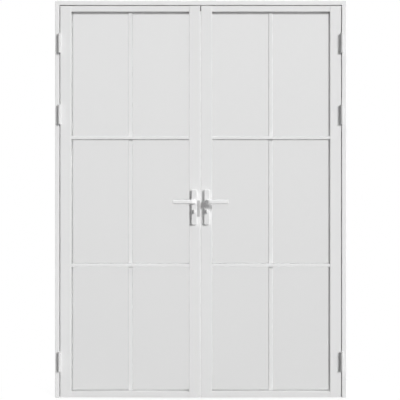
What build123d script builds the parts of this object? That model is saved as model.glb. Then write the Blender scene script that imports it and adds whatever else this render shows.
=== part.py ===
"""French doors: a pair of glazed steel leaves hung in a three-sided steel frame.

Axes: +X to the right seen from the front, +Y from the front to the back, +Z up.
The origin is on the floor, midway between the jambs, in the middle plane of the leaves.
All sizes are in millimetres. Both leaves open towards the front.
"""

import os

from build123d import *

# Overall sizes and running gaps
overall_width = 1540.0
overall_height = 2100.0
edge_gap = 4.5  # between a leaf and the jamb or head
meeting_gap = 5.0  # between the two leaves
floor_gap = 3.0
running_clearance = 0.3  # around whatever turns or slides
cut_overrun = 5.0  # how far a cut runs past the face it starts from
trim_joint = 0.3  # between the ends of two beads or two seal strips

# Frame: one hollow rebated section for the jambs and the head
frame_face = 22.5
frame_wall = 2.0
stop_reach = 18.0
stop_depth = 12.0
stop_gap = 4.0  # between the back of a leaf and the stop, filled by the seal
frame_seal_width = 8.0
frame_seal_radius = 1.8
fixing_hole_radius = 4.5
fixing_low = 350.0  # above the floor
fixing_drop = 400.0  # below the top of the frame
profile_radius = 1.5  # rounded outer corners of the rolled sections

# Leaves: hollow stiles over the full height, rails between them
leaf_depth = 56.0
leaf_wall = 2.0
stile_face = 58.0
rail_face = 30.0
rail_setback = 1.0
glazing_cover = 10.0  # how far a section laps over the edge of the glass
glazing_lip_depth = 16.0
meeting_lip_width = 4.0
meeting_lip_depth = 8.0
stile_cap = 2.0

# Glazing: three panes in each leaf, parted by two horizontal bars
row_count = 3
bar_face = 16.0
bar_web = 3.0
gasket_thickness = 3.0
gasket_width = 6.0
glass_thickness = 10.0
glass_edge_gap = 2.0
bead_chamfer = 3.0
upright_width = 20.0
upright_thickness = 4.0
upright_end_gap = 1.5
upright_chamfer = 1.0
meeting_seal_depth = 6.0
meeting_seal_inset = 0.4
meeting_seal_radius = 1.0
meeting_seal_play = 1.0
meeting_seal_low = 20.0
meeting_seal_short = 27.0

# Hinges: lift-off, with the pin held in the lower half on the frame
hinge_low = 192.0  # middle of the lowest hinge above the floor
hinge_drop = 226.0  # middle of the highest hinge below the top of the frame
hinge_pair = 377.0  # between the two upper hinges
hinge_height = 103.0
hinge_barrel_radius = 8.0
hinge_barrel_chamfer = 1.0
hinge_pin_radius = 4.5
hinge_pin_cover = 3.0
hinge_pin_play = 0.1
hinge_split = 0.5
hinge_plate_thickness = 2.0
hinge_plate_width = 32.0
hinge_screw_shares = (-0.35, 0.0, 0.35)  # of the hinge height
hinge_screw_head_radius = 4.5
hinge_screw_head_height = 2.0
hinge_screw_shank_radius = 2.25
hinge_screw_length = 14.0

# Lever sets, the same on both leaves and on both faces
lever_height = 1037.0
lever_from_centre = 33.5
lever_face = 21.0
lever_thickness = 12.0
lever_corner = 5.0
lever_reach = 112.0  # from the axis to the tip
lever_projection = 52.0  # from the leaf to the middle of the grip
lever_bend_radius = 16.0
lever_tip_fillet = 2.5
collar_radius = 14.0
collar_height = 7.0
collar_fillet = 1.5
plate_width = 30.0
plate_height = 186.0
plate_thickness = 12.0
plate_corner = 8.0
plate_fillet = 2.5
plate_below = 122.0  # below the lever axis
plate_screw_head_radius = 5.0
plate_screw_head_height = 2.75
plate_screw_shank_radius = 2.25
plate_screw_bite = 7.0
screw_socket_share = 0.5  # of the head radius
spindle_side = 8.0
spindle_hole_radius = 8.0
spindle_socket_depth = 36.0

# Thumb-turn on the front, key cylinder on the back
turn_drop = 51.0  # below the lever axis
turn_rose_radius = 11.0
turn_rose_height = 3.0
turn_grip_length = 20.0
turn_grip_width = 8.0
turn_grip_height = 12.0
turn_grip_fillet = 2.0
turn_stem_radius = 4.0
cylinder_radius = 8.5
cylinder_leg_width = 10.0
cylinder_leg_height = 24.5  # from the axis to the bottom of the leg
cylinder_proud = 2.5
key_slot_width = 1.6
key_slot_height = 9.0
key_slot_depth = 12.0

# Lock: a case in the meeting stile, with cranks that drive the bolts
edge_plate_thickness = 3.0
edge_plate_width = 24.0
edge_plate_height = 200.0
edge_plate_radius = 6.0
case_depth = 18.0
case_wall = 1.2
case_below = 97.0  # below the lever axis
case_height = 136.0
case_end_gap = 0.5
case_play = 0.25
crank_radius = 9.0
crank_rest_angle = 45.0  # of an arm to the level
crank_hub_radius = 7.5
crank_arm_width = 7.0
crank_back = 2.5  # each side of the middle plane
crank_front = 1.2
crank_pin_radius = 2.2
crank_pin_play = 0.5
crank_pin_end = 6.8
fork_near = 2.8  # from the middle plane to the near and far face of a fork
fork_far = 6.2
fork_inner = 6.2  # from the axis to the tips of a lever fork
fork_outer = 13.0
fork_finger = 2.5
turn_fork_inner = 5.2
turn_fork_outer = 13.2
rod_radius = 3.0
rod_offset = 9.8
rod_depth = 4.5
bolt_radius = 5.0
bolt_length = 60.0
bolt_setback = 1.0
bolt_hole_play = 1.0
deadbolt_height = 18.0
deadbolt_near = 1.8
deadbolt_length = 20.0
deadbolt_play = 0.5
strike_lip_gap = 0.5  # between the lip and the handle plate
strike_lip_height = 85.0
strike_lip_thickness = 1.5
strike_lip_drop = 36.0  # middle of the lip below the lever axis

# Places worked out from the sizes above
half_width = overall_width / 2
fixing_heights = (fixing_low, overall_height - fixing_drop)
rebate = half_width - frame_face
leaf_edge = rebate - edge_gap
leaf_inner = meeting_gap / 2
edge_face = leaf_inner + meeting_lip_width
leaf_top = overall_height - frame_face - edge_gap
leaf_front = -leaf_depth / 2
leaf_back = leaf_depth / 2
rail_front = leaf_front + rail_setback
lip_back = leaf_front + glazing_lip_depth
stop_front = leaf_back + stop_gap
frame_back = stop_front + stop_depth
hinge_x = rebate - edge_gap / 2
hinge_y = leaf_front - hinge_barrel_radius
highest_hinge = overall_height - hinge_drop
hinge_heights = (hinge_low, highest_hinge - hinge_pair, highest_hinge)
meeting_sight = leaf_inner + stile_face
meeting_body = meeting_sight - glazing_cover
hinge_sight = leaf_edge - stile_face
hinge_body = hinge_sight + glazing_cover
sight_middle = (meeting_sight + hinge_sight) / 2
sight_width = hinge_sight - meeting_sight
sight_low = floor_gap + rail_face
sight_high = leaf_top - rail_face
bar_cover = (bar_face - bar_web) / 2
row_height = (sight_high - sight_low - (row_count - 1) * bar_face) / row_count
glass_front = lip_back + gasket_thickness
glass_back = glass_front + glass_thickness
bead_front = glass_back + gasket_thickness
neck_reach = (lever_face / 2 - lever_corner, lever_thickness / 2 - lever_corner)
neck_radius = (neck_reach[0] ** 2 + neck_reach[1] ** 2) ** 0.5 + lever_corner
turn_height = lever_height - turn_drop
plate_low = lever_height - plate_below
plate_middle = plate_low + plate_height / 2
plate_screw_heights = (
    plate_low + plate_width / 2,
    plate_low + plate_height - plate_width / 2,
)
edge_plate_face = edge_face - edge_plate_thickness
case_back = meeting_body - leaf_wall - case_end_gap
case_half = case_depth / 2
case_low = lever_height - case_below
case_middle = case_low + case_height / 2
crank_reach = crank_radius * 2**0.5 / 2  # of a pin at its rest angle, on each axis
top_rod_x = lever_from_centre - rod_offset
bottom_rod_x = lever_from_centre + rod_offset
strike_lip_middle = lever_height - strike_lip_drop
strike_lip_end = lever_from_centre - plate_width / 2 - strike_lip_gap

SIDES = {"left": -1, "right": 1}
TURNS = {"X": (0, 90, 0), "Y": (90, 0, 0), "Z": (0, 0, 0)}


def save(part, name):
    """Names a finished piece and writes its file."""
    part.label = name
    export_step(part, os.path.join("parts", name + ".step"))


def block(x_span, y_span, z_span, mode=Mode.ADD):
    """A box between two values on each axis, joined to or cut from the piece in hand."""
    spans = (x_span, y_span, z_span)
    with Locations(tuple((low + high) / 2 for low, high in spans)):
        Box(*(abs(high - low) for low, high in spans), mode=mode)


def bar(radius, axis, place, low, high, mode=Mode.ADD):
    """A round bar or bore along an axis; place is its point at zero along that axis."""
    middle = (low + high) / 2
    along = {"X": (middle, 0, 0), "Y": (0, middle, 0), "Z": (0, 0, middle)}[axis]
    with Locations(tuple(a + b for a, b in zip(place, along))):
        Cylinder(radius, abs(high - low), rotation=TURNS[axis], mode=mode)


def hollow_section(points, wall):
    """A tube section with rounded corners on its front and back faces."""
    with BuildLine() as outline:
        Polyline(*points, close=True)
    make_face(outline.edges())
    inside = offset(amount=-wall, kind=Kind.INTERSECTION, mode=Mode.PRIVATE)
    rows = vertices().group_by(Axis.Y)
    fillet(rows[0] + rows[-1], radius=profile_radius)
    add(inside, mode=Mode.SUBTRACT)


def upright_plane(height):
    """Where a vertical section is drawn: along X and Y."""
    return Plane.XY.offset(height)


def level_plane(x):
    """Where a horizontal section is drawn: along Z and Y, extruded towards -X."""
    return Plane(origin=(x, 0, 0), x_dir=(0, 0, 1), z_dir=(-1, 0, 0))


def mitre_plane(side):
    """The plane on which a jamb and the head are cut to meet."""
    return Plane(origin=(side * half_width, 0, overall_height), z_dir=(-side, 0, 1))


def frame_outline(edge):
    """The rebated frame section, from its outer edge inwards."""
    inner = edge - frame_face
    return [
        (edge, leaf_front),
        (inner, leaf_front),
        (inner, stop_front),
        (inner - stop_reach, stop_front),
        (inner - stop_reach, frame_back),
        (edge, frame_back),
    ]


def screw_blank(head_radius, head_height, shank_radius, length):
    """A countersunk screw with its head at the origin and its shank down -Z."""
    with BuildPart() as blank:
        with BuildSketch(Plane.XZ):
            with BuildLine():
                Polyline(
                    (0, 0),
                    (head_radius, 0),
                    (shank_radius, -head_height),
                    (shank_radius, -length),
                    (0, -length),
                    close=True,
                )
            make_face()
        revolve(axis=Axis.Z)
    return blank.part


def socketed(blank, head_radius, head_height):
    """The same screw with a hexagon socket in its head."""
    with BuildPart() as screw:
        add(blank)
        with BuildSketch(Plane.XY):
            RegularPolygon(head_radius * screw_socket_share, 6)
        extrude(amount=-head_height, mode=Mode.SUBTRACT)
    return screw.part


def hinge_screw_places(side, x, facing):
    """The heads of the screws in one column of hinge plates, facing along X."""
    y = leaf_front + running_clearance + hinge_plate_width / 2
    return [
        Plane(
            origin=(side * x, y, height + share * hinge_height),
            x_dir=(0, 1, 0),
            z_dir=(facing, 0, 0),
        ).location
        for height in hinge_heights
        for share in hinge_screw_shares
    ]


def frame_screw_places(side):
    """Screws of the frame halves: their heads face the leaf."""
    return hinge_screw_places(side, rebate - hinge_plate_thickness, -side)


def leaf_screw_places(side):
    """Screws of the leaf halves: their heads face the jamb."""
    return hinge_screw_places(side, leaf_edge + hinge_plate_thickness, side)


def plate_screw_places(side):
    """Screws through the back plate, their heads to the back."""
    return [
        Plane(
            origin=(side * lever_from_centre, leaf_back + plate_thickness, height),
            x_dir=(1, 0, 0),
            z_dir=(0, 1, 0),
        ).location
        for height in plate_screw_heights
    ]


hinge_screw_blank = screw_blank(
    hinge_screw_head_radius,
    hinge_screw_head_height,
    hinge_screw_shank_radius,
    hinge_screw_length,
)
hinge_screw = socketed(
    hinge_screw_blank, hinge_screw_head_radius, hinge_screw_head_height
)
plate_screw_blank = screw_blank(
    plate_screw_head_radius,
    plate_screw_head_height,
    plate_screw_shank_radius,
    plate_thickness + leaf_depth + plate_screw_bite,
)
plate_screw = socketed(
    plate_screw_blank, plate_screw_head_radius, plate_screw_head_height
)


def make_jamb(name, side):
    """A jamb with its wall fixing holes and hinge screw holes."""
    with BuildPart() as jamb:
        with BuildSketch(upright_plane(0)):
            hollow_section(
                [(side * x, y) for x, y in frame_outline(half_width)], frame_wall
            )
        extrude(amount=overall_height)
        split(bisect_by=mitre_plane(side), keep=Keep.BOTTOM)
        for height in fixing_heights:
            bar(
                fixing_hole_radius,
                "X",
                (0, (leaf_front + frame_back) / 2, height),
                side * (rebate - cut_overrun),
                side * (half_width + cut_overrun),
                mode=Mode.SUBTRACT,
            )
        with Locations(*frame_screw_places(side)):
            add(hinge_screw_blank, mode=Mode.SUBTRACT)
    save(jamb.part, name + "_jamb")


def make_head():
    """The head, mitred to both jambs, with a hole for each top bolt."""
    with BuildPart() as head:
        with BuildSketch(level_plane(half_width)):
            hollow_section(frame_outline(overall_height), frame_wall)
        extrude(amount=overall_width)
        for side in SIDES.values():
            split(bisect_by=mitre_plane(side), keep=Keep.TOP)
            bar(
                bolt_radius + bolt_hole_play,
                "Z",
                (side * top_rod_x, rod_depth, 0),
                leaf_top,
                overall_height - frame_face + frame_wall + cut_overrun,
                mode=Mode.SUBTRACT,
            )
    save(head.part, "head")


def make_frame_seal():
    """Three strips on the stops, for the backs of the leaves to close on."""
    inset = stop_reach / 2 + edge_gap / 2
    seal_middle = rebate - inset
    seal_front = leaf_back + running_clearance
    head_low = overall_height - frame_face - inset - frame_seal_width / 2
    with BuildPart() as seal:
        for side in SIDES.values():
            block(
                (
                    side * (seal_middle - frame_seal_width / 2),
                    side * (seal_middle + frame_seal_width / 2),
                ),
                (seal_front, stop_front),
                (floor_gap, head_low - trim_joint),
            )
        block(
            (-seal_middle - frame_seal_width / 2, seal_middle + frame_seal_width / 2),
            (seal_front, stop_front),
            (head_low, head_low + frame_seal_width),
        )
        front_faces = seal.faces().filter_by(Axis.Y).group_by(Axis.Y)[0]
        fillet(front_faces.edges(), radius=frame_seal_radius)
    save(seal.part, "frame_seal")


def hinge_half(side, height, on_leaf):
    """Joins one hinge half to the piece in hand: barrel, neck and plate."""
    axis = side * hinge_x
    towards = -side if on_leaf else side
    near = axis + towards * (edge_gap / 2 - hinge_plate_thickness)
    far = axis + towards * edge_gap / 2
    low, high = height - hinge_height / 2, height + hinge_height / 2
    middle = height + hinge_split / 2 if on_leaf else height - hinge_split / 2
    own = (middle, high) if on_leaf else (low, middle)
    plate_start = leaf_front + running_clearance
    bar(hinge_barrel_radius, "Z", (axis, hinge_y, 0), *own)
    block((near, far), (hinge_y, plate_start), own)
    block((near, far), (plate_start, plate_start + hinge_plate_width), (low, high))


def make_hinge_halves(name, side, on_leaf):
    """The three hinge halves of one jamb or one leaf."""
    axis = (side * hinge_x, hinge_y, 0)
    places = leaf_screw_places(side) if on_leaf else frame_screw_places(side)
    bore = hinge_pin_radius + (hinge_pin_play if on_leaf else 0)
    with BuildPart() as halves:
        for height in hinge_heights:
            hinge_half(side, height, on_leaf)
        ends = halves.edges().filter_by(GeomType.CIRCLE)
        chamfer(ends, length=hinge_barrel_chamfer)
        for height in hinge_heights:
            reach = hinge_height / 2 - hinge_pin_cover
            bar(bore, "Z", axis, height - reach, height + reach, mode=Mode.SUBTRACT)
        with Locations(*places):
            add(hinge_screw_blank, mode=Mode.SUBTRACT)
    carrier = "leaf" if on_leaf else "frame"
    save(halves.part, name + "_" + carrier + "_hinge_halves")


def make_hinge_pins():
    """The six hinge pins, which stay in the frame halves."""
    reach = hinge_height / 2 - hinge_pin_cover
    with BuildPart() as pins:
        for side in SIDES.values():
            for height in hinge_heights:
                bar(
                    hinge_pin_radius,
                    "Z",
                    (side * hinge_x, hinge_y, 0),
                    height - reach,
                    height + reach - hinge_pin_play,
                )
    save(pins.part, "hinge_pins")


def make_screws(name, screw, places):
    """A group of like screws."""
    with BuildPart() as screws:
        with Locations(*places):
            add(screw)
    save(screws.part, name)


def make_hinge_stile(name, side):
    """The stile that carries the hinges."""
    outline = [
        (leaf_edge, leaf_front),
        (hinge_sight, leaf_front),
        (hinge_sight, lip_back),
        (hinge_body, lip_back),
        (hinge_body, leaf_back),
        (leaf_edge, leaf_back),
    ]
    with BuildPart() as stile:
        with BuildSketch(upright_plane(floor_gap)):
            hollow_section([(side * x, y) for x, y in outline], leaf_wall)
        extrude(amount=leaf_top - floor_gap)
        with Locations(*leaf_screw_places(side)):
            add(hinge_screw_blank, mode=Mode.SUBTRACT)
    save(stile.part, name + "_hinge_stile")


def cylinder_outline():
    """The profile of the key cylinder: a round barrel over a straight leg."""
    leg_middle = (cylinder_leg_height - cylinder_leg_width / 2) / 2
    Circle(cylinder_radius)
    with Locations((0, -leg_middle)):
        Rectangle(cylinder_leg_width, 2 * leg_middle)
    with Locations((0, -2 * leg_middle)):
        Circle(cylinder_leg_width / 2)


def cylinder_plane(side, y):
    """Across the key cylinder, with Z up in the sketch, facing the front."""
    return Plane(
        origin=(side * lever_from_centre, y, turn_height),
        x_dir=(1, 0, 0),
        z_dir=(0, -1, 0),
    )


def make_meeting_stile(name, side):
    """The stile at the middle, capped at both ends, with its lock cut-outs."""
    outline = [
        (leaf_inner, leaf_front),
        (meeting_sight, leaf_front),
        (meeting_sight, lip_back),
        (meeting_body, lip_back),
        (meeting_body, leaf_back),
        (edge_face, leaf_back),
        (edge_face, leaf_front + meeting_lip_depth),
        (leaf_inner, leaf_front + meeting_lip_depth),
    ]
    inside_x = (side * (edge_face + leaf_wall), side * (meeting_body - leaf_wall))
    inside_y = (leaf_front + leaf_wall, leaf_back - leaf_wall)
    with BuildPart() as stile:
        with BuildSketch(upright_plane(floor_gap)):
            hollow_section([(side * x, y) for x, y in outline], leaf_wall)
        extrude(amount=leaf_top - floor_gap)
        block(inside_x, inside_y, (floor_gap, floor_gap + stile_cap))
        block(inside_x, inside_y, (leaf_top - stile_cap, leaf_top))
        for x, low, high in (
            (top_rod_x, leaf_top - stile_cap, leaf_top),
            (bottom_rod_x, floor_gap, floor_gap + stile_cap),
        ):
            bar(
                bolt_radius + running_clearance,
                "Z",
                (side * x, rod_depth, 0),
                low - cut_overrun,
                high + cut_overrun,
                mode=Mode.SUBTRACT,
            )
        block(
            (side * (edge_face - cut_overrun), side * (edge_face + leaf_wall)),
            (-case_half - case_play, case_half + case_play),
            (case_low - case_play, case_low + case_height + case_play),
            mode=Mode.SUBTRACT,
        )
        bar(
            spindle_hole_radius,
            "Y",
            (side * lever_from_centre, 0, lever_height),
            leaf_front - cut_overrun,
            leaf_back + cut_overrun,
            mode=Mode.SUBTRACT,
        )
        bar(
            turn_stem_radius + running_clearance,
            "Y",
            (side * lever_from_centre, 0, turn_height),
            leaf_front - cut_overrun,
            leaf_front + leaf_wall + cut_overrun,
            mode=Mode.SUBTRACT,
        )
        with BuildSketch(cylinder_plane(side, leaf_back)):
            cylinder_outline()
        extrude(amount=leaf_wall + cut_overrun, mode=Mode.SUBTRACT)
        with Locations(*plate_screw_places(side)):
            add(plate_screw_blank, mode=Mode.SUBTRACT)
        if name == "left":
            block(
                (side * (leaf_inner - cut_overrun), side * edge_face),
                (leaf_front - cut_overrun, leaf_front + meeting_lip_depth),
                (
                    strike_lip_middle - strike_lip_height / 2,
                    strike_lip_middle + strike_lip_height / 2,
                ),
                mode=Mode.SUBTRACT,
            )
    save(stile.part, name + "_meeting_stile")


def cope_ends(side, low, high):
    """Cuts the front of a rail or bar back to the sight lines at both ends."""
    for inner, outer in ((meeting_body, meeting_sight), (hinge_sight, hinge_body)):
        block(
            (side * inner, side * outer),
            (leaf_front - cut_overrun, lip_back),
            (low - cut_overrun, high + cut_overrun),
            mode=Mode.SUBTRACT,
        )


def make_rail(name, side, kind):
    """A top or bottom rail, butted between the stiles."""
    edge, sight = (
        (leaf_top, sight_high) if kind == "top" else (floor_gap, sight_low)
    )
    body = sight + glazing_cover if kind == "top" else sight - glazing_cover
    outline = [
        (edge, rail_front),
        (sight, rail_front),
        (sight, lip_back),
        (body, lip_back),
        (body, leaf_back),
        (edge, leaf_back),
    ]
    with BuildPart() as rail:
        with BuildSketch(level_plane(max(side * meeting_body, side * hinge_body))):
            hollow_section(outline, leaf_wall)
        extrude(amount=hinge_body - meeting_body)
        cope_ends(side, *sorted((edge, sight)))
    save(rail.part, name + "_" + kind + "_rail")


def row_span(row):
    """The heights between which one row of glass is seen."""
    low = sight_low + row * (row_height + bar_face)
    return low, low + row_height


def row_covers(row):
    """How far the glass runs on behind the section below and the one above."""
    below = glazing_cover if row == 0 else bar_cover
    above = glazing_cover if row == row_count - 1 else bar_cover
    return below, above


def make_horizontal_bars(name, side):
    """The T-section bars between the rows of glass."""
    with BuildPart() as bars:
        for row in range(row_count - 1):
            low = row_span(row)[1]
            high = low + bar_face
            web_low, web_high = low + bar_cover, high - bar_cover
            outline = [
                (low, rail_front),
                (high, rail_front),
                (high, lip_back),
                (web_high, lip_back),
                (web_high, leaf_back),
                (web_low, leaf_back),
                (web_low, lip_back),
                (low, lip_back),
            ]
            start = max(side * meeting_body, side * hinge_body)
            with BuildSketch(level_plane(start)):
                with BuildLine():
                    Polyline(*outline, close=True)
                make_face()
                fillet(vertices().group_by(Axis.Y)[0], radius=profile_radius)
            extrude(amount=hinge_body - meeting_body)
            cope_ends(side, low, high)
    save(bars.part, name + "_horizontal_bars")


def make_pane(name, side, row, row_name):
    """One pane of satin glass."""
    low, high = row_span(row)
    below, above = row_covers(row)
    edge = glazing_cover - glass_edge_gap
    with BuildPart() as pane:
        block(
            (side * (meeting_sight - edge), side * (hinge_sight + edge)),
            (glass_front, glass_back),
            (low - below + glass_edge_gap, high + above - glass_edge_gap),
        )
    save(pane.part, name + "_" + row_name + "_pane")


def make_glazing_gaskets(name, side):
    """A rubber ring in front of each pane and one behind it."""
    with BuildPart() as gaskets:
        for row in range(row_count):
            low, high = row_span(row)
            middle = (side * sight_middle, (low + high) / 2)
            for y in (lip_back, glass_back):
                facing_back = Plane(
                    origin=(0, y, 0), x_dir=(-1, 0, 0), z_dir=(0, 1, 0)
                )
                with BuildSketch(facing_back):
                    with Locations((-middle[0], middle[1])):
                        Rectangle(
                            sight_width + 2 * gasket_width,
                            row_height + 2 * gasket_width,
                        )
                        Rectangle(sight_width, row_height, mode=Mode.SUBTRACT)
                extrude(amount=gasket_thickness)
    save(gaskets.part, name + "_glazing_gaskets")


def make_glazing_beads(name, side):
    """Four beads round the back of each pane, with a sloped inner edge."""
    with BuildPart() as beads:
        for row in range(row_count):
            low, high = row_span(row)
            below, above = row_covers(row)
            depth = (bead_front, leaf_back)
            across = (side * meeting_body, side * hinge_body)
            block(across, depth, (low - below, low))
            block(across, depth, (high, high + above))
            height = (low + trim_joint, high - trim_joint)
            block((side * meeting_body, side * meeting_sight), depth, height)
            block((side * hinge_sight, side * hinge_body), depth, height)
        inner_edges = []
        for row in range(row_count):
            low, high = row_span(row)
            back_edges = beads.edges().filter_by_position(
                Axis.Y, leaf_back, leaf_back
            )
            for height in (low, high):
                level = back_edges.filter_by(Axis.X)
                inner_edges += level.filter_by_position(Axis.Z, height, height)
            for x in (meeting_sight, hinge_sight):
                standing = back_edges.filter_by(Axis.Z)
                standing = standing.filter_by_position(Axis.Z, low, high)
                inner_edges += standing.filter_by_position(Axis.X, side * x, side * x)
        chamfer(inner_edges, length=bead_chamfer)
    save(beads.part, name + "_glazing_beads")


def make_upright_bars(name, side):
    """Low bars bonded to the middle of each pane, front and back."""
    middle = side * sight_middle
    with BuildPart() as bars:
        for row in range(row_count):
            low, high = row_span(row)
            for glass, face in (
                (glass_front, glass_front - upright_thickness),
                (glass_back, glass_back + upright_thickness),
            ):
                block(
                    (middle - upright_width / 2, middle + upright_width / 2),
                    (glass, face),
                    (low + upright_end_gap, high - upright_end_gap),
                )
        outer_faces = bars.faces().filter_by(Axis.Y).sort_by(Axis.Y)
        outer = outer_faces[:row_count] + outer_faces[-row_count:]
        chamfer(outer.edges().filter_by(Axis.Z), length=upright_chamfer)
    save(bars.part, name + "_upright_bars")


def make_meeting_seal():
    """The pale seal on the right leaf that fills the gap between the leaves."""
    with BuildPart() as seal:
        block(
            (meeting_seal_play - leaf_inner, leaf_inner),
            (
                leaf_front + meeting_seal_inset,
                leaf_front + meeting_seal_inset + meeting_seal_depth,
            ),
            (meeting_seal_low, leaf_top - meeting_seal_short),
        )
        front_edges = seal.faces().sort_by(Axis.Y)[0].edges().filter_by(Axis.Z)
        fillet(front_edges.sort_by(Axis.X)[0], radius=meeting_seal_radius)
    save(seal.part, "meeting_seal")


def make_handle_plate(name, side, facing):
    """A long rounded handle plate; facing is -1 on the front and 1 on the back."""
    x = side * lever_from_centre
    face = facing * leaf_back
    outside = face + facing * plate_thickness
    across = Plane(
        origin=(x, face, plate_middle), x_dir=(1, 0, 0), z_dir=(0, facing, 0)
    )
    with BuildPart() as plate:
        with BuildSketch(across):
            RectangleRounded(plate_width, plate_height, plate_corner)
        extrude(amount=plate_thickness)
        outer = plate.faces().filter_by(Axis.Y).sort_by(Axis.Y)
        outer_face = outer[0] if facing < 0 else outer[-1]
        fillet(outer_face.edges(), radius=plate_fillet)
        past = outside + facing * cut_overrun
        before = face - facing * cut_overrun
        bar(
            neck_radius + running_clearance,
            "Y",
            (x, 0, lever_height),
            before,
            past,
            mode=Mode.SUBTRACT,
        )
        if facing < 0:
            bar(
                turn_stem_radius + running_clearance,
                "Y",
                (x, 0, turn_height),
                before,
                past,
                mode=Mode.SUBTRACT,
            )
        else:
            with BuildSketch(cylinder_plane(side, past)):
                cylinder_outline()
            extrude(amount=plate_thickness + 2 * cut_overrun, mode=Mode.SUBTRACT)
        with Locations(*plate_screw_places(side)):
            add(plate_screw_blank, mode=Mode.SUBTRACT)
    kind = "front" if facing < 0 else "back"
    save(plate.part, name + "_" + kind + "_plate")


def make_lever(name, side, facing):
    """A flat-faced lever: a neck through the plate, a bend and a straight grip."""
    start = leaf_back + running_clearance
    grip = leaf_back + lever_projection
    along = Plane(
        origin=(side * lever_from_centre, 0, lever_height),
        x_dir=(side, 0, 0),
        z_dir=(0, 0, side * facing),
    )
    collar_start = leaf_back + plate_thickness + running_clearance
    across = Plane(
        origin=(side * lever_from_centre, facing * collar_start, lever_height),
        x_dir=(1, 0, 0),
        z_dir=(0, facing, 0),
    )
    with BuildPart() as lever:
        with BuildSketch(across):
            Circle(collar_radius)
        extrude(amount=collar_height)
        fillet(lever.edges().filter_by(GeomType.CIRCLE), radius=collar_fillet)
        with BuildLine(along) as path:
            FilletPolyline(
                (0, start), (0, grip), (lever_reach, grip), radius=lever_bend_radius
            )
        root = Plane(
            origin=path.wire() @ 0, x_dir=(1, 0, 0), z_dir=path.wire() % 0
        )
        with BuildSketch(root):
            RectangleRounded(lever_thickness, lever_face, lever_corner)
        sweep()
        tip = lever.faces().filter_by(Axis.X).sort_by(Axis.X)
        fillet((tip[-1] if side > 0 else tip[0]).edges(), radius=lever_tip_fillet)
        block(
            (
                side * lever_from_centre - spindle_side / 2,
                side * lever_from_centre + spindle_side / 2,
            ),
            (
                facing * (start - cut_overrun),
                facing * (start + spindle_socket_depth),
            ),
            (lever_height - spindle_side / 2, lever_height + spindle_side / 2),
            mode=Mode.SUBTRACT,
        )
    kind = "front" if facing < 0 else "back"
    save(lever.part, name + "_" + kind + "_lever")


def crank(side, height, pins, near, far, pin_end):
    """Joins a crank to the piece in hand; pins are its pin places about the axis."""
    x = side * lever_from_centre
    bar(crank_hub_radius, "Y", (x, 0, height), near, far)
    for across, up in pins:
        place = (x + side * across, 0, height + up)
        tilt = (0, -side * crank_rest_angle, 0)
        with Locations((x + side * across / 2, (near + far) / 2, height + up / 2)):
            Box(crank_radius, abs(far - near), crank_arm_width, rotation=tilt)
        bar(crank_arm_width / 2, "Y", place, near, far)
        bar(crank_pin_radius, "Y", place, near, pin_end)


def make_spindle(name, side):
    """The square spindle, with the crank that drives both bolts."""
    x = side * lever_from_centre
    end = leaf_back + running_clearance + spindle_socket_depth
    with BuildPart() as spindle:
        block(
            (x - spindle_side / 2, x + spindle_side / 2),
            (-end, end),
            (lever_height - spindle_side / 2, lever_height + spindle_side / 2),
        )
        pins = ((-crank_reach, -crank_reach), (crank_reach, crank_reach))
        crank(side, lever_height, pins, -crank_back, crank_front, crank_pin_end)
    save(spindle.part, name + "_spindle")


def make_thumbturn(name, side):
    """The thumb-turn on the front, with its stem and crank."""
    x = side * lever_from_centre
    plate_face = leaf_front - plate_thickness
    rose_back = plate_face - running_clearance
    rose_front = rose_back - turn_rose_height
    with BuildPart() as turn:
        bar(turn_rose_radius, "Y", (x, 0, turn_height), rose_back, rose_front)
        grip_plane = Plane(
            origin=(x, rose_front, turn_height), x_dir=(1, 0, 0), z_dir=(0, -1, 0)
        )
        with BuildSketch(grip_plane):
            SlotOverall(turn_grip_length, turn_grip_width, rotation=90)
        extrude(amount=turn_grip_height)
        fillet(turn.faces().sort_by(Axis.Y)[0].edges(), radius=turn_grip_fillet)
        bar(turn_stem_radius, "Y", (x, 0, turn_height), rose_back, crank_back - crank_front)
        pins = ((crank_reach, crank_reach),)
        crank(side, turn_height, pins, -crank_back, crank_back - crank_front, -crank_pin_end)
    save(turn.part, name + "_thumbturn")


def make_key_cylinder(name, side):
    """The key cylinder on the back, from the lock case to just past the plate."""
    end = leaf_back + plate_thickness + cylinder_proud
    with BuildPart() as cylinder:
        with BuildSketch(cylinder_plane(side, end)):
            cylinder_outline()
        extrude(amount=end - case_half)
        x = side * lever_from_centre
        block(
            (x - key_slot_width / 2, x + key_slot_width / 2),
            (end - key_slot_depth, end + cut_overrun),
            (turn_height - key_slot_height / 2, turn_height + key_slot_height / 2),
            mode=Mode.SUBTRACT,
        )
    save(cylinder.part, name + "_key_cylinder")


def deadbolt_opening(side, x_span):
    """Cuts the way that the deadbolt takes through a plate or wall."""
    block(
        tuple(side * x for x in x_span),
        (-fork_far - deadbolt_play, deadbolt_near + deadbolt_play),
        (
            turn_height - deadbolt_height / 2 - deadbolt_play,
            turn_height + deadbolt_height / 2 + deadbolt_play,
        ),
        mode=Mode.SUBTRACT,
    )


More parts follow.
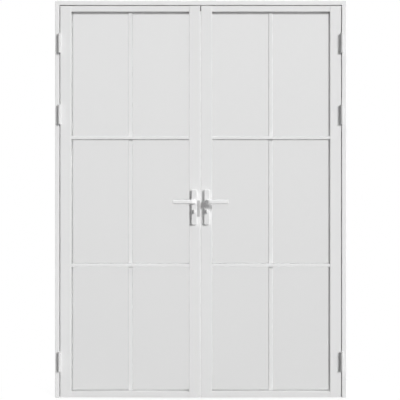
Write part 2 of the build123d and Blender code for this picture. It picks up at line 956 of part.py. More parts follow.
def make_lock_case(name, side):
    """The lock case in the stile, open where spindle, stem and bolts pass."""
    x = side * lever_from_centre
    inside = case_half - case_wall
    top = case_low + case_height
    with BuildPart() as case:
        block(
            (side * edge_face, side * case_back), (-case_half, case_half), (case_low, top)
        )
        block(
            (side * (edge_face + case_wall), side * (case_back - case_wall)),
            (-inside, inside),
            (case_low + case_wall, top - case_wall),
            mode=Mode.SUBTRACT,
        )
        bar(
            spindle_hole_radius,
            "Y",
            (x, 0, lever_height),
            -case_half - cut_overrun,
            case_half + cut_overrun,
            mode=Mode.SUBTRACT,
        )
        bar(
            turn_stem_radius + running_clearance,
            "Y",
            (x, 0, turn_height),
            -case_half - cut_overrun,
            -inside + case_wall,
            mode=Mode.SUBTRACT,
        )
        for rod_x, low in ((top_rod_x, top - case_wall), (bottom_rod_x, case_low)):
            bar(
                rod_radius + running_clearance,
                "Z",
                (side * rod_x, rod_depth, 0),
                low - case_wall,
                low + 2 * case_wall,
                mode=Mode.SUBTRACT,
            )
        deadbolt_opening(side, (edge_face - cut_overrun, edge_face + 2 * case_wall))
    save(case.part, name + "_lock_case")


def edge_plate(side):
    """Joins the long rounded plate on the edge of a meeting stile to the piece in hand."""
    edge = Plane(
        origin=(side * edge_face, 0, case_middle), x_dir=(0, 1, 0), z_dir=(-side, 0, 0)
    )
    with BuildSketch(edge) as outline:
        RectangleRounded(edge_plate_width, edge_plate_height, edge_plate_radius)
    extrude(outline.sketch, amount=edge_plate_thickness)
    deadbolt_opening(side, (edge_plate_face - cut_overrun, edge_face + cut_overrun))


def make_forend(side):
    """The plate on the edge of the right leaf that the lock case is fixed to."""
    with BuildPart() as forend:
        edge_plate(side)
    save(forend.part, "right_forend")


def make_strike_plate(side):
    """The plate on the edge of the left leaf, with a lip folded over its front."""
    lip = (
        strike_lip_middle - strike_lip_height / 2,
        strike_lip_middle + strike_lip_height / 2,
    )
    lip_face = leaf_front - strike_lip_thickness
    with BuildPart() as strike:
        edge_plate(side)
        block((side * edge_plate_face, side * edge_face), (lip_face, 0), lip)
        block(
            (side * edge_plate_face, side * strike_lip_end),
            (lip_face, leaf_front),
            lip,
        )
        deadbolt_opening(side, (edge_plate_face - cut_overrun, edge_face + cut_overrun))
    save(strike.part, "strike_plate")


def make_top_bolt(name, side):
    """The upper bolt: a fork on the crank, a rod and a thicker end."""
    x = lever_from_centre
    pin = lever_height - crank_reach
    half_slot = crank_pin_radius + crank_pin_play
    half_fork = half_slot + fork_finger
    end = leaf_top - bolt_setback
    with BuildPart() as bolt:
        block(
            (side * (x - fork_outer), side * (x - fork_inner)),
            (fork_near, fork_far),
            (pin - half_fork, pin + half_fork),
        )
        slot_end = x - crank_radius - half_slot
        block(
            (side * slot_end, side * x),
            (fork_near, fork_far),
            (pin - half_slot, pin + half_slot),
            mode=Mode.SUBTRACT,
        )
        place = (side * top_rod_x, rod_depth, 0)
        bar(rod_radius, "Z", place, pin + half_slot, end)
        bar(bolt_radius, "Z", place, end - bolt_length, end)
        chamfer(bolt.faces().sort_by(Axis.Z)[-1].edges(), length=bolt_setback)
    save(bolt.part, name + "_top_bolt")


def make_bottom_bolt(name, side):
    """The lower bolt, which the same crank drives the other way."""
    x = lever_from_centre
    pin = lever_height + crank_reach
    half_slot = crank_pin_radius + crank_pin_play
    half_fork = half_slot + fork_finger
    end = floor_gap + bolt_setback
    with BuildPart() as bolt:
        block(
            (side * (x + fork_inner), side * (x + fork_outer)),
            (fork_near, fork_far),
            (pin - half_fork, pin + half_fork),
        )
        slot_end = x + crank_radius + half_slot
        block(
            (side * x, side * slot_end),
            (fork_near, fork_far),
            (pin - half_slot, pin + half_slot),
            mode=Mode.SUBTRACT,
        )
        place = (side * bottom_rod_x, rod_depth, 0)
        bar(rod_radius, "Z", place, end, pin - half_slot)
        bar(bolt_radius, "Z", place, end, end + bolt_length)
        chamfer(bolt.faces().sort_by(Axis.Z)[0].edges(), length=bolt_setback)
    save(bolt.part, name + "_bottom_bolt")


def make_deadbolt(side):
    """The deadbolt of the right leaf, drawn back, with a fork over the turn's pin."""
    x = lever_from_centre
    pin = x + crank_reach
    half_slot = crank_pin_radius + crank_pin_play
    half_fork = half_slot + fork_finger
    bolt_back = edge_plate_face + deadbolt_length
    tail_start = edge_face + case_wall + 2 * crank_reach + deadbolt_play
    tail = (turn_height + turn_fork_inner, turn_height + turn_fork_outer)
    with BuildPart() as bolt:
        block(
            (side * edge_plate_face, side * bolt_back),
            (-fork_far, deadbolt_near),
            (turn_height - deadbolt_height / 2, turn_height + deadbolt_height / 2),
        )
        block(
            (side * tail_start, side * (pin + half_fork)),
            (-fork_far, -fork_near),
            tail,
        )
        block(
            (side * (pin - half_slot), side * (pin + half_slot)),
            (-fork_far, -fork_near),
            (turn_height, turn_height + crank_radius + half_slot),
            mode=Mode.SUBTRACT,
        )
    save(bolt.part, "deadbolt")


os.makedirs("parts", exist_ok=True)
make_head()
make_frame_seal()
make_hinge_pins()
make_screws(
    "frame_hinge_screws",
    hinge_screw,
    [place for side in SIDES.values() for place in frame_screw_places(side)],
)
for name, side in SIDES.items():
    make_jamb(name, side)
    make_hinge_halves(name, side, on_leaf=False)
    make_hinge_halves(name, side, on_leaf=True)
    make_screws(name + "_hinge_screws", hinge_screw, leaf_screw_places(side))
    make_hinge_stile(name, side)
    make_meeting_stile(name, side)
    for kind in ("top", "bottom"):
        make_rail(name, side, kind)
    make_horizontal_bars(name, side)
    for row, row_name in enumerate(("bottom", "middle", "top")):
        make_pane(name, side, row, row_name)
    make_glazing_gaskets(name, side)
    make_glazing_beads(name, side)
    make_upright_bars(name, side)
    for facing in (-1, 1):
        make_handle_plate(name, side, facing)
        make_lever(name, side, facing)
    make_screws(name + "_plate_screws", plate_screw, plate_screw_places(side))
    make_spindle(name, side)
    make_thumbturn(name, side)
    make_key_cylinder(name, side)
    make_lock_case(name, side)
    make_top_bolt(name, side)
    make_bottom_bolt(name, side)
make_forend(SIDES["right"])
make_deadbolt(SIDES["right"])
make_meeting_seal()
make_strike_plate(SIDES["left"])
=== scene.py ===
# %% [markdown]
# # French doors in Blender
# The doors come in as a finished set of solids: a steel frame, two glazed leaves, hinges,
# lever sets and locks. This lesson gives them their finishes, adds the small pieces that
# repeat, and lights them as a plain studio picture. Every length is in metres.

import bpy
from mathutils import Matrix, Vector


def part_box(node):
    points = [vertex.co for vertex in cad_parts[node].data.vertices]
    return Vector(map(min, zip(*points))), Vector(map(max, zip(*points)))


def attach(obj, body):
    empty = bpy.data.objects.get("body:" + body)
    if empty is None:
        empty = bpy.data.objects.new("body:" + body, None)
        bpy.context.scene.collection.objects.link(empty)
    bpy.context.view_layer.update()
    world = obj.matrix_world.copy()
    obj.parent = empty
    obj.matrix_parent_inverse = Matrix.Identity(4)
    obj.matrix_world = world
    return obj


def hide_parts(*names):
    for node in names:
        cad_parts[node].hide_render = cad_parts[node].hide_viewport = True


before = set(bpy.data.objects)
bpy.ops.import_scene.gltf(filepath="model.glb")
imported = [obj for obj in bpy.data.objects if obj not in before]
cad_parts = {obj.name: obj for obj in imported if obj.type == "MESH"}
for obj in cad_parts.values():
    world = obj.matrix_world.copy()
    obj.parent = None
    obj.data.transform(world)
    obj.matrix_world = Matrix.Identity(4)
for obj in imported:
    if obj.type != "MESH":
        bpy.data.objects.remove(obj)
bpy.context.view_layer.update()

# %% Other modules
import math

import bpy
from mathutils import Vector

print("Blender", bpy.app.version_string)

# %% [markdown]
# ## A short way to write node trees
# A shader or geometry tree is a list of nodes and links. It could be drawn by hand in the
# node editor, but a script can be read and run again. The helpers below make a node and set
# its inputs in one call, so that each finish reads from its coordinates to its shader.

# %% Node helpers
def add_node(tree, kind, inputs=None, **settings):
    """Makes a node; an input is a value, or an output socket to link from."""
    node = tree.nodes.new(kind)
    for name, value in settings.items():
        setattr(node, name, value)
    for key, value in (inputs or {}).items():
        if isinstance(value, bpy.types.NodeSocket):
            tree.links.new(value, node.inputs[key])
        else:
            node.inputs[key].default_value = value
    return node


def grey(value):
    """A colour with no hue."""
    return (value, value, value)


def start_finish(name):
    """A new material: its tree, its shader and the coordinates of the piece."""
    material = bpy.data.materials.new(name)
    material.use_nodes = True
    tree = material.node_tree
    shader = tree.nodes["Principled BSDF"]
    coordinates = tree.nodes.new("ShaderNodeTexCoord").outputs["Object"]
    return material, tree, shader, coordinates


def speckle(tree, coordinates, scale, detail=3.0, stretch=(1.0, 1.0, 1.0)):
    """Noise over the piece, drawn out along an axis where stretch is small."""
    mapped = add_node(tree, "ShaderNodeMapping", {"Vector": coordinates, "Scale": stretch})
    noise = add_node(
        tree,
        "ShaderNodeTexNoise",
        {"Vector": mapped.outputs["Vector"], "Scale": scale, "Detail": detail},
    )
    return noise.outputs["Fac"]


def between(tree, factor, low, high, start=0.3, end=0.7):
    """Turns a factor into a number between low and high."""
    node = add_node(
        tree,
        "ShaderNodeMapRange",
        {"Value": factor, "From Min": start, "From Max": end, "To Min": low, "To Max": high},
    )
    return node.outputs["Result"]


def shade_of(tree, factor, dark, light):
    """Turns a factor into a colour between two colours."""
    ramp = tree.nodes.new("ShaderNodeValToRGB")
    ramp.color_ramp.elements[0].position = 0.3
    ramp.color_ramp.elements[0].color = (*dark, 1.0)
    ramp.color_ramp.elements[1].position = 0.7
    ramp.color_ramp.elements[1].color = (*light, 1.0)
    tree.links.new(factor, ramp.inputs["Fac"])
    return ramp.outputs["Color"]


def raise_surface(tree, shader, factor, strength, height):
    """Lets a factor raise the surface by up to height metres."""
    bump = add_node(
        tree, "ShaderNodeBump", {"Height": factor, "Strength": strength, "Distance": height}
    )
    tree.links.new(bump.outputs["Normal"], shader.inputs["Normal"])


print("node helpers ready")

# %% [markdown]
# ## Powder coat
# The frame and the leaves are steel sections with a baked powder coat. It is almost white and
# satin, and close up it has the fine waves that are called orange peel. A picture of paint
# could be wrapped round each section, but noise on the coordinates of the piece needs no
# unwrapping and shows no seams. Broad, weak noise keeps large faces from looking like one
# flat colour, and fine noise makes the peel. The beads behind the glass get a whiter coat,
# which is painted light: it lifts the shade they lie in where they show through the edges of
# the glass.

# %% Powder coat
cloud_scale, gloss_scale, peel_scale = 5.0, 40.0, 900.0
cloud_share = 0.985  # of the tone, where a cloud is darkest
coat_roughness = (0.38, 0.48)
peel_height = 0.0004


def powder_coat(name, tone):
    """A baked coat with faint clouds and orange peel."""
    material, tree, shader, place = start_finish(name)
    clouds = speckle(tree, place, cloud_scale)
    dark = tuple(cloud_share * value for value in tone)
    tree.links.new(shade_of(tree, clouds, dark, tone), shader.inputs["Base Color"])
    gloss = between(tree, speckle(tree, place, gloss_scale), *coat_roughness)
    tree.links.new(gloss, shader.inputs["Roughness"])
    peel = speckle(tree, place, peel_scale, 2.0)
    raise_surface(tree, shader, peel, 0.12, peel_height)
    shader.inputs["Specular IOR Level"].default_value = 0.4
    return material


finishes = {
    "frame_coat": powder_coat("frame_powder_coat", grey(0.83)),
    "leaf_coat": powder_coat("leaf_powder_coat", grey(0.80)),
    "bar_coat": powder_coat("bar_powder_coat", grey(0.82)),
    # painted light: the beads get a whiter coat than the leaves, to lift the shade they lie in
    # behind the glass
    "bead_coat_painted_light": powder_coat("bead_powder_coat_painted_light", grey(0.88)),
}
print("powder coats:", list(finishes))

# %% [markdown]
# ## Satin glass
# The panes are etched, so they let light through but show only blurred shapes behind them.
# A clear and a milky shader could be mixed for that, but one shader with a rough transmission
# scatters the light as the etching does. A very fine bump stands for the etching. The tone
# falls a little from the top of the doors to the bottom, and this is painted shade that darkens
# the glass towards the floor.

# %% Satin glass
door_height = 2.1
painted_shade_low_tone, painted_shade_high_tone = grey(0.715), grey(0.76)
etching_scale = 1500.0
etched_roughness = (0.2, 0.28)


def satin_glass(name):
    """Etched glass, with painted shade that makes it a little darker towards the floor."""
    material, tree, shader, place = start_finish(name)
    height = add_node(tree, "ShaderNodeSeparateXYZ", {"Vector": place}).outputs["Z"]
    rise = between(tree, height, 0.3, 0.7, 0.0, door_height)
    # painted shade: the tone of the glass falls from the top of the doors towards the floor
    tone = shade_of(tree, rise, painted_shade_low_tone, painted_shade_high_tone)
    tree.links.new(tone, shader.inputs["Base Color"])
    etching = speckle(tree, place, etching_scale, 2.0)
    rough = between(tree, etching, *etched_roughness)
    tree.links.new(rough, shader.inputs["Roughness"])
    raise_surface(tree, shader, etching, 0.05, 0.0002)
    shader.inputs["Transmission Weight"].default_value = 1.0
    shader.inputs["IOR"].default_value = 1.5
    return material


finishes["glass"] = satin_glass("satin_glass")
print("glass ready")

# %% [markdown]
# ## Brushed and lacquered steel
# Levers, plates and hinges are steel with a pale satin lacquer over brush marks, and the lock
# parts, which are hardly seen, are bare brushed steel. The lacquer is given three tones: the
# hinges and the plates are darker, painted shade that holds down the bright round edges that
# face the key lamp, and painted light makes the levers a little lighter. Real grooves would
# take far too many faces, so noise that is drawn out along one axis stands for the marks. On
# the lacquer it only moves the tone, the roughness and the surface a little; on bare metal it
# does more.

# %% Steels
brush_scale = 1800.0
brush_stretch = 0.02  # of the noise along the marks
bare_share, lacquer_share = 0.9, 0.96  # of the tone, in the marks
bare_shine, lacquer_shine = 0.5, 0.15


def brushed_steel(name, tone, along, roughness, bare):
    """Steel brushed along one axis, bare or under a pale lacquer."""
    material, tree, shader, place = start_finish(name)
    stretch = tuple(brush_stretch if axis == along else 1.0 for axis in "XYZ")
    marks = speckle(tree, place, brush_scale, 4.0, stretch)
    dark = tuple((bare_share if bare else lacquer_share) * value for value in tone)
    tree.links.new(shade_of(tree, marks, dark, tone), shader.inputs["Base Color"])
    rough = between(tree, marks, roughness - 0.05, roughness + 0.05)
    tree.links.new(rough, shader.inputs["Roughness"])
    raise_surface(tree, shader, marks, 0.06, 0.0001)
    shader.inputs["Metallic"].default_value = 1.0 if bare else 0.0
    shine = bare_shine if bare else lacquer_shine
    shader.inputs["Specular IOR Level"].default_value = shine
    return material


nickel = (0.72, 0.70, 0.66)
# one lacquer in three tones: hinges and plates darker as painted shade on edges facing the key
# lamp, levers lighter as painted light
for name, tone, along, roughness, bare in (
    ("lever_lacquer_painted_light", grey(0.86), "X", 0.50, False),
    ("plate_lacquer_painted_shade", grey(0.81), "Z", 0.52, False),
    ("hinge_lacquer_painted_shade", grey(0.69), "Z", 0.52, False),
    ("lock_steel", grey(0.50), "Z", 0.38, True),
    ("screw_steel", grey(0.62), "X", 0.34, True),
    ("cylinder_nickel", nickel, "Y", 0.30, True),
):
    finishes[name] = brushed_steel(name, tone, along, roughness, bare)
    print(name, "brushed along", along)

# %% [markdown]
# ## Rubber
# The gaskets round the panes are pale grey rubber. The seal on the stops of the frame is dark
# rubber, and its tone is also painted shade that deepens the gaps round the leaves. The seal
# between the leaves is almost white, partly painted light that lifts it out of the shade of
# the right leaf's edge. All are dull, with a fine grain and a little bloom, the pale film that
# rubber gets. Moulded rubber has no pattern to draw, so one noise for the bloom and one for
# the grain are enough.

# %% Rubber
bloom_scale, grain_scale = 30.0, 2500.0
bloom_share = 0.85  # of the tone, where there is no bloom
dull_roughness = (0.6, 0.8)


def rubber(name, tone):
    """Dull rubber with bloom and grain."""
    material, tree, shader, place = start_finish(name)
    bloom = speckle(tree, place, bloom_scale, 5.0)
    dark = tuple(bloom_share * value for value in tone)
    tree.links.new(shade_of(tree, bloom, dark, tone), shader.inputs["Base Color"])
    grain = speckle(tree, place, grain_scale, 2.0)
    tree.links.new(between(tree, grain, *dull_roughness), shader.inputs["Roughness"])
    raise_surface(tree, shader, grain, 0.15, 0.0002)
    shader.inputs["Specular IOR Level"].default_value = 0.3
    return material


# painted shade and light: the dark stop seal also deepens the gaps round the leaves, and the
# almost white meeting seal lifts the shade of the right leaf's edge
for name, value in (("gasket_rubber", 0.78), ("seal_rubber_with_painted_light", 0.93), ("stop_rubber_with_painted_shade", 0.2)):
    finishes[name] = rubber(name, grey(value))
    print(name, "tone", value)

# %% [markdown]
# ## Which piece has which finish
# The solids keep their shapes and only change their material slot. Each could be given its
# finish by hand, but the end of its name says what it is, so a short table does it. The
# frame's paint is a touch lighter than that of the leaves.

# %% Give out the finishes
finish_by_ending = {
    "_jamb": "frame_coat",
    "head": "frame_coat",
    "_stile": "leaf_coat",
    "_rail": "leaf_coat",
    "horizontal_bars": "bar_coat",
    "glazing_beads": "bead_coat_painted_light",
    "upright_bars": "bar_coat",
    "_pane": "glass",
    "gaskets": "gasket_rubber",
    "frame_seal": "stop_rubber_with_painted_shade",
    "meeting_seal": "seal_rubber_with_painted_light",
    "hinge_halves": "hinge_lacquer_painted_shade",
    "_lever": "lever_lacquer_painted_light",
    "front_plate": "plate_lacquer_painted_shade",
    "back_plate": "plate_lacquer_painted_shade",
    "thumbturn": "plate_lacquer_painted_shade",
    "key_cylinder": "cylinder_nickel",
    "screws": "screw_steel",
}


def finish_for(node):
    """The finish of a solid, from the end of its name; the rest are lock parts."""
    for ending, finish in finish_by_ending.items():
        if node.endswith(ending):
            return finish
    return "lock_steel"


for node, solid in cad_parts.items():
    solid.data.materials.clear()
    solid.data.materials.append(finishes[finish_for(node)])
print("finishes given to", len(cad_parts), "solids")

# %% [markdown]
# ## Tools for geometry trees
# Gaskets follow the edge of a pane and screws repeat. Copies could be placed by hand, but with
# Geometry Nodes a tree is built once, its sizes are named inputs, and each group of pieces sets
# them. The result is turned into a plain mesh, because a live modifier would not travel with
# the doors.

# %% Geometry helpers
def start_tree(name, sizes):
    """A geometry tree whose inputs are a mesh, the named sizes and a finish."""
    tree = bpy.data.node_groups.new(name, "GeometryNodeTree")
    sockets = tree.interface
    sockets.new_socket(name="Places", in_out="INPUT", socket_type="NodeSocketGeometry")
    for size in sizes:
        sockets.new_socket(name=size, in_out="INPUT", socket_type="NodeSocketFloat")
    sockets.new_socket(name="Finish", in_out="INPUT", socket_type="NodeSocketMaterial")
    sockets.new_socket(name="Pieces", in_out="OUTPUT", socket_type="NodeSocketGeometry")
    return tree, tree.nodes.new("NodeGroupInput").outputs


def end_tree(tree, pieces, finish):
    """Makes the instances real and gives them their finish."""
    real = add_node(tree, "GeometryNodeRealizeInstances", {"Geometry": pieces})
    done = add_node(
        tree,
        "GeometryNodeSetMaterial",
        {"Geometry": real.outputs["Geometry"], "Material": finish},
    )
    out = tree.nodes.new("NodeGroupOutput")
    tree.links.new(done.outputs["Geometry"], out.inputs["Pieces"])


def number(tree, operation, first, second=0.0):
    """One step of arithmetic."""
    node = add_node(tree, "ShaderNodeMath", {0: first, 1: second}, operation=operation)
    return node.outputs[0]


def run_tree(name, tree, places, values):
    """Runs a tree on a mesh of places and keeps the result as a plain mesh object."""
    holder = bpy.data.objects.new(name + "_places", places)
    bpy.context.scene.collection.objects.link(holder)
    modifier = holder.modifiers.new("tree", "NODES")
    modifier.node_group = tree
    for item in tree.interface.items_tree:
        if item.in_out == "INPUT" and item.name in values:
            modifier[item.identifier] = values[item.name]
    graph = bpy.context.evaluated_depsgraph_get()
    mesh = bpy.data.meshes.new_from_object(holder.evaluated_get(graph))
    mesh.name = name
    mesh.materials.clear()
    mesh.materials.append(values["Finish"])
    mesh.polygons.foreach_set("material_index", [0] * len(mesh.polygons))
    holder.modifiers.remove(modifier)
    bpy.data.objects.remove(holder)
    piece = bpy.data.objects.new(name, mesh)
    bpy.context.scene.collection.objects.link(piece)
    return piece


print("geometry helpers ready")

# %% [markdown]
# ## Glazing gaskets
# Each pane sits between two pale rubber rings, one in front and one behind. They lie a little
# back from the edge of the steel, so only a fine shadow shows. They could be modelled as
# bevelled strips, but a profile swept along the edge of the opening turns the corners in one
# go, as the real rubber does.

# %% Gasket tree
gasket_sizes = {"Width": 0.003, "Thickness": 0.003, "Corner": 0.002}
round_share = 0.45  # radius of the rubber's own edges, of its thickness
corner_steps = 4
gasket_tree, sizes = start_tree("gasket", gasket_sizes)
path = add_node(gasket_tree, "GeometryNodeMeshToCurve", {"Mesh": sizes["Places"]})
rounded = add_node(
    gasket_tree,
    "GeometryNodeFilletCurve",
    {"Curve": path.outputs["Curve"], "Radius": sizes["Corner"], "Count": corner_steps},
    mode="POLY",
)
level = add_node(
    gasket_tree,
    "GeometryNodeSetCurveNormal",
    {"Curve": rounded.outputs["Curve"], "Normal": (0.0, 1.0, 0.0)},
    mode="FREE",
)
section = add_node(
    gasket_tree,
    "GeometryNodeCurvePrimitiveQuadrilateral",
    {"Width": sizes["Thickness"], "Height": sizes["Width"]},
)
soft = add_node(
    gasket_tree,
    "GeometryNodeFilletCurve",
    {
        "Curve": section.outputs["Curve"],
        "Radius": number(gasket_tree, "MULTIPLY", sizes["Thickness"], round_share),
        "Count": corner_steps,
    },
    mode="POLY",
)
outwards = number(gasket_tree, "MULTIPLY", sizes["Width"], 0.5)
shift = add_node(gasket_tree, "ShaderNodeCombineXYZ", {"Y": outwards})
placed = add_node(
    gasket_tree,
    "GeometryNodeTransform",
    {"Geometry": soft.outputs["Curve"], "Translation": shift.outputs["Vector"]},
)
swept = add_node(
    gasket_tree,
    "GeometryNodeCurveToMesh",
    {"Curve": level.outputs["Curve"], "Profile Curve": placed.outputs["Geometry"]},
)
smooth = add_node(gasket_tree, "GeometryNodeSetShadeSmooth", {"Geometry": swept.outputs["Mesh"]})
end_tree(gasket_tree, smooth.outputs["Geometry"], sizes["Finish"])
print("gasket tree:", len(gasket_tree.nodes), "nodes")

# %% Gaskets
# how far the steel laps over the edges of a pane: at the stiles, the rails and the bars
stile_cover, rail_cover, bar_cover = 0.008, 0.008, 0.0045
bottom_cover = {"bottom": rail_cover, "middle": bar_cover, "top": bar_cover}
top_cover = {"bottom": bar_cover, "middle": bar_cover, "top": rail_cover}
set_back = 0.003  # of a ring from the edge of the steel
strip_middle = gasket_sizes["Thickness"] / 2


def pane_openings(side):
    """A ring of four points round each opening, in front of the glass and behind it."""
    corners, edges = [], []
    for row in ("bottom", "middle", "top"):
        low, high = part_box(f"{side}_{row}_pane")
        side_cover = stile_cover - set_back
        left, right = low[0] + side_cover, high[0] - side_cover
        bottom = low[2] + bottom_cover[row] - set_back
        top = high[2] - top_cover[row] + set_back
        for depth in (low[1] - strip_middle, high[1] + strip_middle):
            first = len(corners)
            corners += [
                (left, depth, bottom),
                (right, depth, bottom),
                (right, depth, top),
                (left, depth, top),
            ]
            edges += [(first + step, first + (step + 1) % 4) for step in range(4)]
    places = bpy.data.meshes.new(side + "_openings")
    places.from_pydata(corners, edges, [])
    return places


for side in ("left", "right"):
    values = {**gasket_sizes, "Finish": finishes["gasket_rubber"]}
    gaskets = run_tree(side + "_gasket_rings", gasket_tree, pane_openings(side), values)
    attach(gaskets, side + "_leaf")
    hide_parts(side + "_glazing_gaskets")
    print(gaskets.name, len(gaskets.data.polygons), "faces")

# %% [markdown]
# ## Screws
# Countersunk screws with a hexagon socket hold the hinges and the handle plates. One screw
# could be modelled and copied by hand, but here a tree builds it from a cone and sets one at
# each place, with its head outwards and its socket turned by chance, as a fitter leaves it.

# %% Screw tree
screw_sizes = ("Head radius", "Head height", "Shank radius", "Length")
screw_sides = 24
tip_share = 0.5  # length of the tip, of the shank's radius
tip_end = 0.6  # width of the end of the tip, of the shank's width
screw_tree, sizes = start_tree("countersunk_screw", screw_sizes)


def times(size, share):
    """A share of a size."""
    return number(screw_tree, "MULTIPLY", size, share)


def draw_out(mesh, face, distance):
    """Draws a face out along its normal; gives the mesh and the moved face."""
    node = add_node(
        screw_tree,
        "GeometryNodeExtrudeMesh",
        {"Mesh": mesh, "Selection": face, "Offset Scale": distance},
        mode="FACES",
    )
    return node.outputs["Mesh"], node.outputs["Top"]


def shrink(mesh, face, share):
    """Makes a face smaller about its middle."""
    node = add_node(
        screw_tree,
        "GeometryNodeScaleElements",
        {"Geometry": mesh, "Selection": face, "Scale": share},
    )
    return node.outputs["Geometry"]


cone = add_node(
    screw_tree,
    "GeometryNodeMeshCone",
    {
        "Vertices": screw_sides,
        "Radius Top": sizes["Head radius"],
        "Radius Bottom": sizes["Shank radius"],
        "Depth": sizes["Head height"],
    },
)
shank_length = number(screw_tree, "SUBTRACT", sizes["Length"], sizes["Head height"])
tip_length = times(sizes["Shank radius"], tip_share)
straight = number(screw_tree, "SUBTRACT", shank_length, tip_length)
body, tip = draw_out(cone.outputs["Mesh"], cone.outputs["Bottom"], straight)
body, tip = draw_out(body, tip, tip_length)
body = shrink(body, tip, tip_end)
print("shank and cone:", len(screw_tree.nodes), "nodes")

# %% Crown and socket of the screw
crown_rise = 0.05  # of the crown over the cone, of the head's radius
crown_top = 0.86  # width of the top of the crown, of the head's width
socket_radius = 0.5  # to a corner of the hexagon, of the head's radius
socket_depth = 0.9  # of the head's height
sink = 0.06  # of the cone below the face of the plate, of the head's radius
sixth = math.pi / 3
body, crown = draw_out(body, cone.outputs["Top"], times(sizes["Head radius"], crown_rise))
body = shrink(body, crown, crown_top)
body, rim = draw_out(body, crown, 0.0)
spot = add_node(screw_tree, "GeometryNodeInputPosition").outputs["Position"]
spot_xyz = add_node(screw_tree, "ShaderNodeSeparateXYZ", {"Vector": spot}).outputs
angle = number(screw_tree, "ARCTAN2", spot_xyz["Y"], spot_xyz["X"])
sector = number(screw_tree, "FLOORED_MODULO", angle, sixth)
swing = number(screw_tree, "COSINE", number(screw_tree, "SUBTRACT", sector, sixth / 2))
flat_radius = times(sizes["Head radius"], socket_radius * math.cos(sixth / 2))
radius = number(screw_tree, "DIVIDE", flat_radius, swing)
hexagon = add_node(
    screw_tree,
    "ShaderNodeCombineXYZ",
    {
        "X": number(screw_tree, "MULTIPLY", radius, number(screw_tree, "COSINE", angle)),
        "Y": number(screw_tree, "MULTIPLY", radius, number(screw_tree, "SINE", angle)),
        "Z": spot_xyz["Z"],
    },
)
pressed = add_node(
    screw_tree,
    "GeometryNodeSetPosition",
    {"Geometry": body, "Selection": rim, "Position": hexagon.outputs["Vector"]},
)
inwards = times(sizes["Head height"], -socket_depth)
body = draw_out(pressed.outputs["Geometry"], rim, inwards)[0]
drop = number(screw_tree, "SUBTRACT", times(sizes["Head radius"], -sink), sizes["Head height"])
sunk = add_node(screw_tree, "ShaderNodeCombineXYZ", {"Z": drop})
screw = add_node(
    screw_tree,
    "GeometryNodeTransform",
    {"Geometry": body, "Translation": sunk.outputs["Vector"]},
)
print("one screw:", len(screw_tree.nodes), "nodes")

# %% A screw at each place
facing = add_node(
    screw_tree, "GeometryNodeInputNamedAttribute", {"Name": "facing"}, data_type="FLOAT_VECTOR"
)
towards = add_node(
    screw_tree,
    "FunctionNodeAlignRotationToVector",
    {"Vector": facing.outputs["Attribute"]},
    axis="Z",
)
chance = add_node(
    screw_tree,
    "FunctionNodeRandomValue",
    {"Min": 0.0, "Max": sixth, "Seed": 7},
    data_type="FLOAT",
)
spin = add_node(
    screw_tree,
    "FunctionNodeAxisAngleToRotation",
    {"Axis": (0.0, 0.0, 1.0), "Angle": chance.outputs["Value"]},
)
turned = add_node(
    screw_tree,
    "FunctionNodeRotateRotation",
    {"Rotation": towards.outputs["Rotation"], "Rotate By": spin.outputs["Rotation"]},
    rotation_space="LOCAL",
)
spread = add_node(
    screw_tree,
    "GeometryNodeInstanceOnPoints",
    {
        "Points": sizes["Places"],
        "Instance": screw.outputs["Geometry"],
        "Rotation": turned.outputs["Rotation"],
    },
)
end_tree(screw_tree, spread.outputs["Instances"], sizes["Finish"])
print("screw tree:", len(screw_tree.nodes), "nodes")

# %% Screws of the hinges and plates
hinge_screw = {
    "Head radius": 0.0045,
    "Head height": 0.002,
    "Shank radius": 0.00225,
    "Length": 0.014,
}
plate_screw = {"Head radius": 0.005, "Head height": 0.00275, "Shank radius": 0.00225}


def set_screws(node, body, values, places):
    """Sets a screw at each place, a point and the way its head faces."""
    mesh = bpy.data.meshes.new(node + "_places")
    mesh.from_pydata([point for point, way in places], [], [])
    ways = mesh.attributes.new("facing", "FLOAT_VECTOR", "POINT")
    for item, (point, way) in zip(ways.data, places):
        item.vector = way
    name = node.replace("_screws", "_screw_set")
    screws = run_tree(name, screw_tree, mesh, {**values, "Finish": finishes["screw_steel"]})
    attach(screws, body)
    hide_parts(node)
    print(name, len(places), "screws,", len(screws.data.polygons), "faces")


hinge_heights = (0.192, 1.497, 1.874)  # of the middles of the hinges
screw_steps = (-0.03605, 0.0, 0.03605)  # from the middle of a hinge to its screws


def hinge_places(box, edge, way):
    """Three screws to a hinge, their heads at one edge of the box of the solid screws."""
    middle = (box[0][1] + box[1][1]) / 2
    return [
        ((edge, middle, height + step), (way, 0.0, 0.0))
        for height in hinge_heights
        for step in screw_steps
    ]


frame_places = []
frame_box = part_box("frame_hinge_screws")
for side, sign in (("left", -1.0), ("right", 1.0)):
    leaf_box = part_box(side + "_hinge_screws")
    edge = leaf_box[1][0] if sign > 0 else leaf_box[0][0]
    leaf_places = hinge_places(leaf_box, edge, sign)
    set_screws(side + "_hinge_screws", side + "_leaf", hinge_screw, leaf_places)
    inner = frame_box[1][0] - hinge_screw["Length"]
    frame_places += hinge_places(frame_box, sign * inner, -sign)
    low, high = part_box(side + "_plate_screws")
    inset = plate_screw["Head radius"]
    plate_places = [
        (((low[0] + high[0]) / 2, high[1], height), (0.0, 1.0, 0.0))
        for height in (low[2] + inset, high[2] - inset)
    ]
    plate_values = {**plate_screw, "Length": high[1] - low[1]}
    set_screws(side + "_plate_screws", side + "_leaf", plate_values, plate_places)
set_screws("frame_hinge_screws", "frame", hinge_screw, frame_places)

# %% [markdown]
# ## Camera
# The picture is taken from about three metres in front, at the height of the levers and
# level, so upright lines stay upright. The lens could be tried by eye, but the height that the
# picture takes in at the face of the leaves gives it at once.

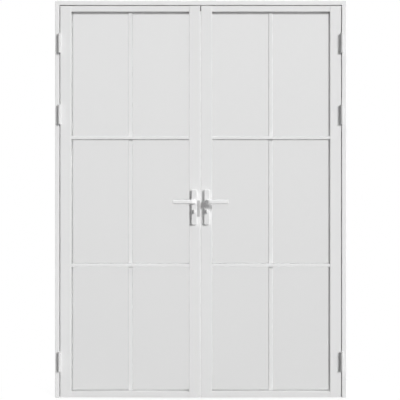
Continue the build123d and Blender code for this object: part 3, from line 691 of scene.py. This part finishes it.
# %% Camera
view_height = 2.1156
view_distance = 3.3
leaf_face = -0.028
eye_side, eye_height = -0.0032, 1.046
camera_data = bpy.data.cameras.new("camera")
camera = bpy.data.objects.new("camera", camera_data)
bpy.context.scene.collection.objects.link(camera)
camera.location = (eye_side, leaf_face - view_distance, eye_height)
camera.rotation_euler = (math.radians(90), 0.0, 0.0)
camera_data.sensor_width = 36.0
camera_data.lens = camera_data.sensor_width * view_distance / view_height
bpy.context.scene.camera = camera
print("lens:", round(camera_data.lens, 2), "mm")

# %% [markdown]
# ## Studio
# A white world is seen by the camera, by reflections and through the glass. As a light it is
# weaker, and weakest in front of the doors. The standard view shows it as pure white, where a
# filmic one would make it grey. Near lamps would light the doors unevenly, so the lamps are
# far ones. One from the upper right gives the hinges and plates their shadows, one from above
# lights the faces that look up, and one from behind lights the beads, which are seen through
# the edges of the satin glass.

# %% World
white = (1.0, 1.0, 1.0, 1.0)
front_fill, back_fill = 0.1, 1.05
turn_of_fill = (0.1, 0.4)  # how far round to the back the fill turns from weak to strong
world = bpy.data.worlds.new("studio")
world.use_nodes = True
bpy.context.scene.world = world
tree = world.node_tree
tree.nodes.clear()
rays = tree.nodes.new("ShaderNodeLightPath").outputs
seen = number(tree, "MAXIMUM", rays["Is Camera Ray"], rays["Is Glossy Ray"])
shown = number(tree, "MAXIMUM", seen, rays["Is Transmission Ray"])
way = tree.nodes.new("ShaderNodeTexCoord").outputs["Generated"]
depth = add_node(tree, "ShaderNodeSeparateXYZ", {"Vector": way}).outputs["Y"]
strength = between(tree, depth, front_fill, back_fill, *turn_of_fill)
fill = add_node(tree, "ShaderNodeBackground", {"Color": white, "Strength": strength})
plain = add_node(tree, "ShaderNodeBackground", {"Color": white, "Strength": 1.0})
mixed = add_node(
    tree, "ShaderNodeMixShader", {0: shown, 1: fill.outputs[0], 2: plain.outputs[0]}
)
add_node(tree, "ShaderNodeOutputWorld", {"Surface": mixed.outputs[0]})
bpy.context.scene.view_settings.view_transform = "Standard"
print("world ready")

# %% Lamps
lamp_distance = 4.0


def add_lamp(name, turn, rise, strength, spread):
    """A far lamp; turn is to the right of the front and rise is above the floor, in degrees."""
    data = bpy.data.lights.new(name, "SUN")
    data.energy = strength
    data.angle = math.radians(spread)
    lamp = bpy.data.objects.new(name, data)
    bpy.context.scene.collection.objects.link(lamp)
    turn, rise = math.radians(turn), math.radians(rise)
    level = math.cos(rise)
    way = Vector((math.sin(turn) * level, -math.cos(turn) * level, math.sin(rise)))
    lamp.location = lamp_distance * way
    lamp.rotation_euler = way.to_track_quat("Z", "Y").to_euler()
    print(name, "towards", [round(value, 2) for value in way])


add_lamp("key", turn=45, rise=22, strength=3.05, spread=20)
add_lamp("top", turn=20, rise=84, strength=1.0, spread=20)
add_lamp("back", turn=200, rise=65, strength=1.0, spread=20)

# %% [markdown]
# ## Floor
# The floor is pale and plain. A backdrop that curves up would hide its far edge, but a large
# flat one that fades into the white of the studio gives the same picture. Near the doors it
# takes their shadow. As a source of light it counts as mid grey, so that it doesn't fill the
# shadows under the rails from below.

# %% Floor
floor_mesh = bpy.data.meshes.new("floor")
reach = 30.0
floor_mesh.from_pydata(
    [(-reach, -reach, 0.0), (reach, -reach, 0.0), (reach, reach, 0.0), (-reach, reach, 0.0)],
    [],
    [(0, 1, 2, 3)],
)
floor = bpy.data.objects.new("floor", floor_mesh)
bpy.context.scene.collection.objects.link(floor)
floor_finish, tree, shader, place = start_finish("floor")
shader.inputs["Roughness"].default_value = 0.9
shader.inputs["Specular IOR Level"].default_value = 0.1
print("floor:", 2 * reach, "metres square")

# %% Tone and fade of the floor
oval = (0.45, 1.0, 0.0)  # the fade follows the width of the doors
fade_start, fade_end = 0.05, 0.5
near_white = 0.6  # share of studio white close to the doors
as_light = (*grey(0.3), 1.0)
flat = add_node(tree, "ShaderNodeVectorMath", {0: place, 1: oval}, operation="MULTIPLY")
away = add_node(tree, "ShaderNodeVectorMath", {0: flat.outputs[0]}, operation="LENGTH")
fade = between(tree, away.outputs["Value"], near_white, 1.0, fade_start, fade_end)
rays = tree.nodes.new("ShaderNodeLightPath").outputs
seen = number(tree, "MAXIMUM", rays["Is Camera Ray"], rays["Is Glossy Ray"])
pale = shade_of(tree, speckle(tree, place, 3.0), grey(0.86), grey(0.88))
lit = add_node(
    tree, "ShaderNodeMix", {"Factor": seen, "A": as_light, "B": pale}, data_type="RGBA"
)
tree.links.new(lit.outputs[2], shader.inputs["Base Color"])
faded = number(tree, "MULTIPLY", fade, seen)
share = number(tree, "MAXIMUM", faded, rays["Is Transmission Ray"])
glow = add_node(tree, "ShaderNodeEmission", {"Strength": 1.0})
mixed = add_node(
    tree, "ShaderNodeMixShader", {0: share, 1: shader.outputs[0], 2: glow.outputs[0]}
)
tree.links.new(mixed.outputs[0], tree.nodes["Material Output"].inputs["Surface"])
floor_mesh.materials.append(floor_finish)
print("floor ready")
